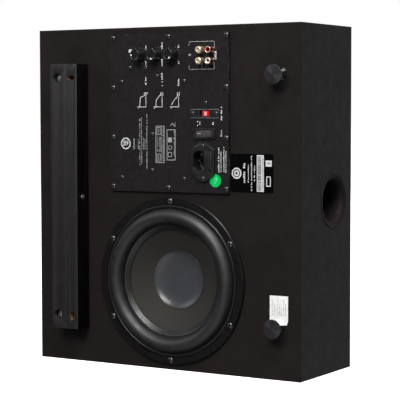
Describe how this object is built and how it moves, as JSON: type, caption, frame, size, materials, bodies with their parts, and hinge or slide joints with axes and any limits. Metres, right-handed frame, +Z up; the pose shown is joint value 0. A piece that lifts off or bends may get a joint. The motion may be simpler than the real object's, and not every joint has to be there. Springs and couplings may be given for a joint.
{
  "type": "on-wall active subwoofer",
  "caption": "Slim black on-wall active subwoofer seen from its wall side: woofer, amplifier plate with controls and sockets, side port, bevelled cleat pair and bumper feet.",
  "frame": {"origin": "centre of the cabinet's bottom side, on the surface it stands on", "axes": "+Z up as it stands, +Y from the wall side to the room side, +X to the side with the port"},
  "size_m": [0.3871, 0.1641, 0.43],
  "materials": {
    "cabinet_paint": "satin black textured paint over fibreboard",
    "raw_board": "bare fibreboard",
    "port_plastic": "matt moulded",
    "cast_frame": "semi-gloss black",
    "trim_rubber": "satin",
    "surround_rubber": "semi-gloss",
    "cone_paper": "pulp texture",
    "cap_poly": "satin dome",
    "former_kapton": "amber film",
    "copper": "enamelled copper",
    "spider_cloth": "resin-dipped cotton",
    "plated_steel": "zinc plated",
    "ferrite": "ground ferrite",
    "terminal": "tinned tags",
    "black_screw": "black oxide",
    "steel_screw": "zinc",
    "foam": "closed-cell foam",
    "amp_panel": "fine textured powder coat",
    "board_green": "solder mask",
    "winding_tape": "taped toroid",
    "aluminium": "extruded",
    "can_sleeve": "sleeved cans",
    "pot_metal": "pressed",
    "knob_plastic": "gloss moulded",
    "socket_plastic": "moulded",
    "gold": "gold plated",
    "red_plastic": "moulded",
    "white_plastic": "moulded",
    "pin_brass": "nickel plated",
    "fuse_glass": "glass with metal caps",
    "lead_jacket": "insulated",
    "cleat_paint": "rolled black paint, edges showing fibreboard",
    "foot_gloss": "gloss",
    "foot_rubber": "turned rubber",
    "label_black": null,
    "paper": "paper with faint marks",
    "sticker_green": "paper sticker"
  },
  "bodies": {
    "cabinet": {"front_panel": "cabinet_paint", "rear_baffle": "cabinet_paint", "left_side": "cabinet_paint", "right_side": "cabinet_paint", "top_side": "cabinet_paint", "bottom_side": "cabinet_paint", "braces": "raw_board", "port_flare": "port_plastic", "port_duct": "port_plastic", "woofer_frame": "cast_frame", "trim_ring": "trim_rubber", "surround": "surround_rubber", "spider": "spider_cloth", "top_plate": "plated_steel", "magnet": "ferrite", "back_plate": "plated_steel", "woofer_terminals": "terminal", "woofer_screws": "black_screw", "amp_gasket": "foam", "amp_plate": "amp_panel", "amp_screws": "black_screw", "small_screws": "black_screw", "circuit_board": "board_green", "transformer": "winding_tape", "heat_sink": "aluminium", "capacitors": "can_sleeve", "pot_bodies": "pot_metal", "phono_block": "socket_plastic", "phono_barrels": "gold", "red_insulators": "red_plastic", "white_insulators": "white_plastic", "phono_contacts": "gold", "selector_body": "socket_plastic", "rocker_bezel": "socket_plastic", "inlet_body": "socket_plastic", "inlet_pins": "pin_brass", "speaker_leads": "lead_jacket", "cabinet_cleat": "cleat_paint", "cleat_screws": "steel_screw", "foot_bases": "foot_gloss", "rating_label": "label_black", "paper_sticker": "paper", "round_sticker": "sticker_green"},
    "cone_assembly": {"cone": "cone_paper", "dust_cap": "cap_poly", "coil_former": "former_kapton", "coil_winding": "copper"},
    "level_control": {"level_knob": "knob_plastic"},
    "crossover_control": {"crossover_knob": "knob_plastic"},
    "phase_control": {"phase_knob": "knob_plastic"},
    "voltage_slider": {"selector_slider": "red_plastic"},
    "power_rocker": {"rocker_paddle": "socket_plastic"},
    "fuse_holder": {"fuse_drawer": "socket_plastic", "fuse": "fuse_glass"},
    "wall_cleat_half": {"wall_cleat": "cleat_paint", "lock_screw": "steel_screw"},
    "upper_cap": {"upper_phono_cap": "gold"},
    "lower_cap": {"lower_phono_cap": "gold"},
    "upper_foot": {"upper_foot_bumper": "foot_rubber"},
    "lower_foot": {"lower_foot_bumper": "foot_rubber"}
  },
  "joints": [
    {"name": "cone_travel", "type": "slide", "parent": "cabinet", "child": "cone_assembly", "axis": [0, -1, 0], "range_m": [-0.008, 0.008], "stiffness_N_per_m": 1500, "deforming": ["surround", "spider"]},
    {"name": "level_turn", "type": "hinge", "parent": "cabinet", "child": "level_control", "pos_m": [-0.03275, -0.07925, 0.3945], "axis": [0, 1, 0], "range_deg": [-140, 140]},
    {"name": "crossover_turn", "type": "hinge", "parent": "cabinet", "child": "crossover_control", "pos_m": [-0.00845, -0.07925, 0.3945], "axis": [0, 1, 0], "range_deg": [-50, 230]},
    {"name": "phase_turn", "type": "hinge", "parent": "cabinet", "child": "phase_control", "pos_m": [0.01585, -0.07925, 0.3945], "axis": [0, 1, 0], "range_deg": [-17, 263]},
    {"name": "voltage_slide", "type": "slide", "parent": "cabinet", "child": "voltage_slider", "axis": [1, 0, 0], "range_m": [-0.0033, 0]},
    {"name": "rocker_tilt", "type": "hinge", "parent": "cabinet", "child": "power_rocker", "pos_m": [0.062, -0.07045, 0.2971], "axis": [0, 0, 1], "range_deg": [0, 16]},
    {"name": "fuse_pull", "type": "slide", "parent": "cabinet", "child": "fuse_holder", "axis": [0, -1, 0], "range_m": [0, 0.022]},
    {"name": "cleat_lift", "type": "slide", "parent": "cabinet", "child": "wall_cleat_half", "axis": [0.7071, -0.7071, 0], "range_m": [0, 0.045]},
    {"name": "upper_cap_pull", "type": "slide", "parent": "cabinet", "child": "upper_cap", "axis": [0, -1, 0], "range_m": [0, 0.02]},
    {"name": "lower_cap_pull", "type": "slide", "parent": "cabinet", "child": "lower_cap", "axis": [0, -1, 0], "range_m": [0, 0.02]},
    {"name": "upper_foot_adjust", "type": "slide", "parent": "cabinet", "child": "upper_foot", "axis": [0, -1, 0], "range_m": [0, 0.008]},
    {"name": "lower_foot_adjust", "type": "slide", "parent": "cabinet", "child": "lower_foot", "axis": [0, -1, 0], "range_m": [0, 0.008]}
  ]
}
